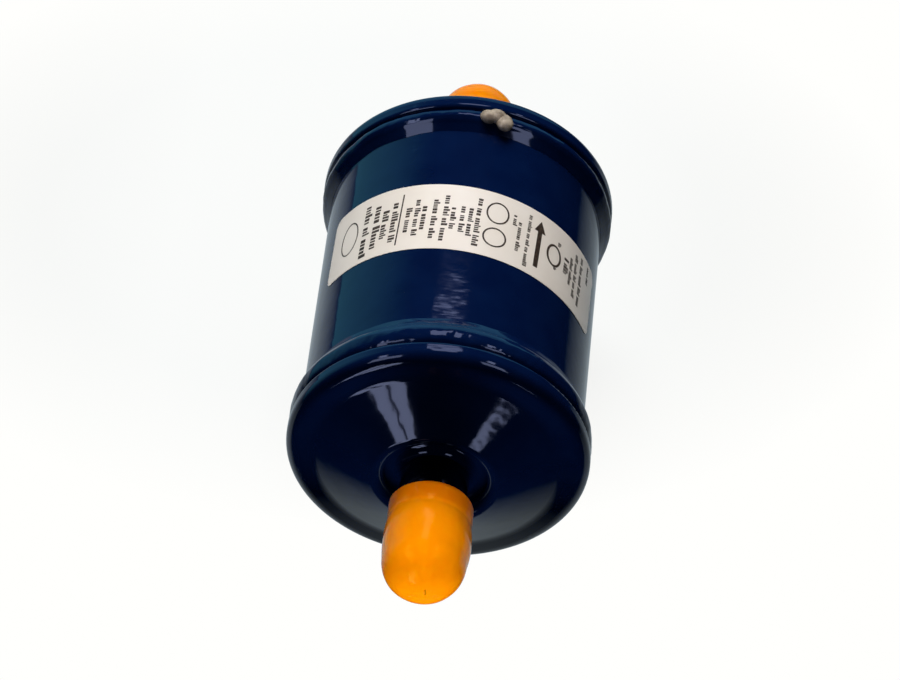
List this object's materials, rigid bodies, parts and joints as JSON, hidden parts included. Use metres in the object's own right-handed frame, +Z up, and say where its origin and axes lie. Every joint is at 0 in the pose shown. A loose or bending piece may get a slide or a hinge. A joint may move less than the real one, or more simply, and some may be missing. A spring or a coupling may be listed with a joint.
{
  "type": "refrigerant filter drier",
  "caption": "Painted steel liquid-line filter drier, a short welded cylinder with solder sockets under push-on vinyl shipping caps and a wrapped label.",
  "frame": {"origin": "on the axis of the shell, half way along it", "axes": "+X along the flow, out of the outlet socket; +Z up, through the middle of the label's long side; +Y completes the frame"},
  "size_m": [0.1627, 0.0716, 0.0725],
  "materials": {
    "body_paint": "gloss navy powder coat",
    "bare_weld": "bare weld metal",
    "copper": "solid copper",
    "vinyl": "soft amber vinyl",
    "label_film": "printed film",
    "plate_steel": "plain steel",
    "spring_steel": "drawn wire",
    "felt": "glass and polyester felt",
    "desiccant": "molecular sieve beads"
  },
  "bodies": {
    "drier": {"shell_tube": "body_paint", "inlet_end_cap": "body_paint", "outlet_end_cap": "body_paint", "inlet_weld": "body_paint", "outlet_weld": "body_paint", "weld_lump": "bare_weld", "inlet_fitting": "copper", "outlet_fitting": "copper", "inlet_braze_ring": "body_paint", "outlet_braze_ring": "body_paint", "label": "label_film", "compression_spring": "spring_steel", "inlet_perforated_plate": "plate_steel", "outlet_perforated_plate": "plate_steel", "outlet_wire_screen": "plate_steel", "inlet_filter_pad": "felt", "outlet_filter_pad": "felt", "desiccant_bed": "desiccant"},
    "inlet_cap": {"inlet_shipping_cap": "vinyl"},
    "outlet_cap": {"outlet_shipping_cap": "vinyl"}
  },
  "joints": [
    {"name": "inlet_cap_slide", "type": "slide", "parent": "drier", "child": "inlet_cap", "axis": [-1, 0, 0], "range_m": [-0.0036, 0.06]},
    {"name": "outlet_cap_slide", "type": "slide", "parent": "drier", "child": "outlet_cap", "axis": [1, 0, 0], "range_m": [0, 0.06]}
  ]
}
